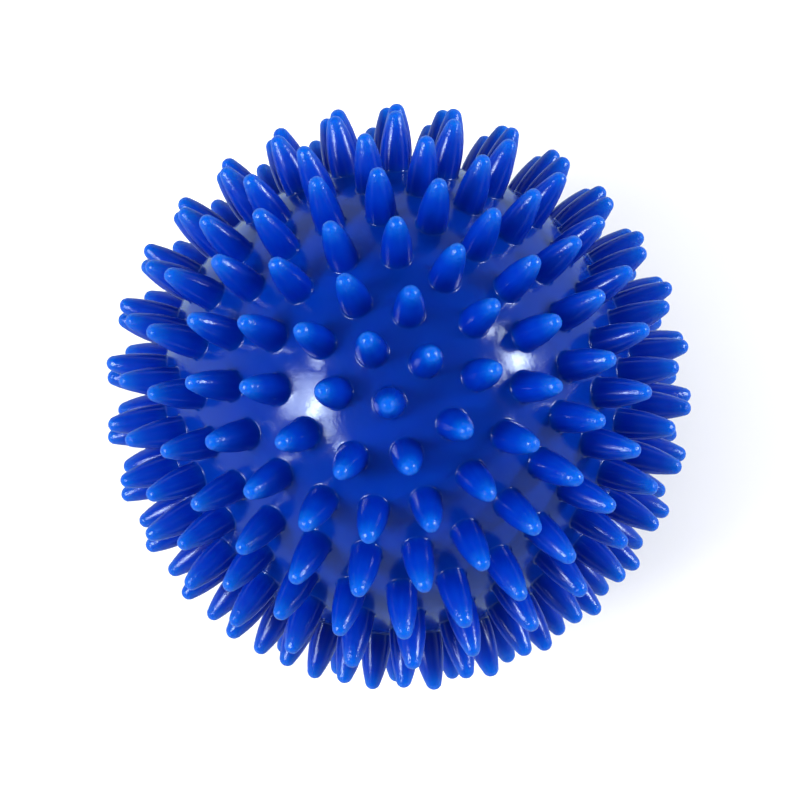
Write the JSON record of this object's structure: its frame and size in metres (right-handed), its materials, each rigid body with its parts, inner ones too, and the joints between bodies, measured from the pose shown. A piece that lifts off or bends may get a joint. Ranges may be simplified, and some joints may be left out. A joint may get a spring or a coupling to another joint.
{
  "type": "massage ball",
  "caption": "Hollow spiky massage ball moulded in two halves, with rounded cone spikes on circles of latitude and a plugged filling valve.",
  "frame": {"origin": "centre of the ball, which is also the middle of its box to within 0.6 mm", "axes": "+Z from the centre to the pole spike of the upper half, -Z to the filling valve; X and Y lie in the plane where the two halves are welded"},
  "size_m": [0.0994, 0.0994, 0.0989],
  "materials": {
    "ball_skin": "glossy, slightly translucent blue soft plastic",
    "valve": "satin blue soft plastic",
    "plug": "satin blue soft plastic"
  },
  "bodies": {
    "ball": {"upper_half_shell": "ball_skin", "lower_half_shell": "ball_skin", "valve_seat": "valve"},
    "plug": {"valve_plug": "plug"}
  },
  "joints": [
    {"name": "plug_pull", "type": "slide", "parent": "ball", "child": "plug", "axis": [0, 0, -1], "range_m": [0, 0.0076]}
  ]
}
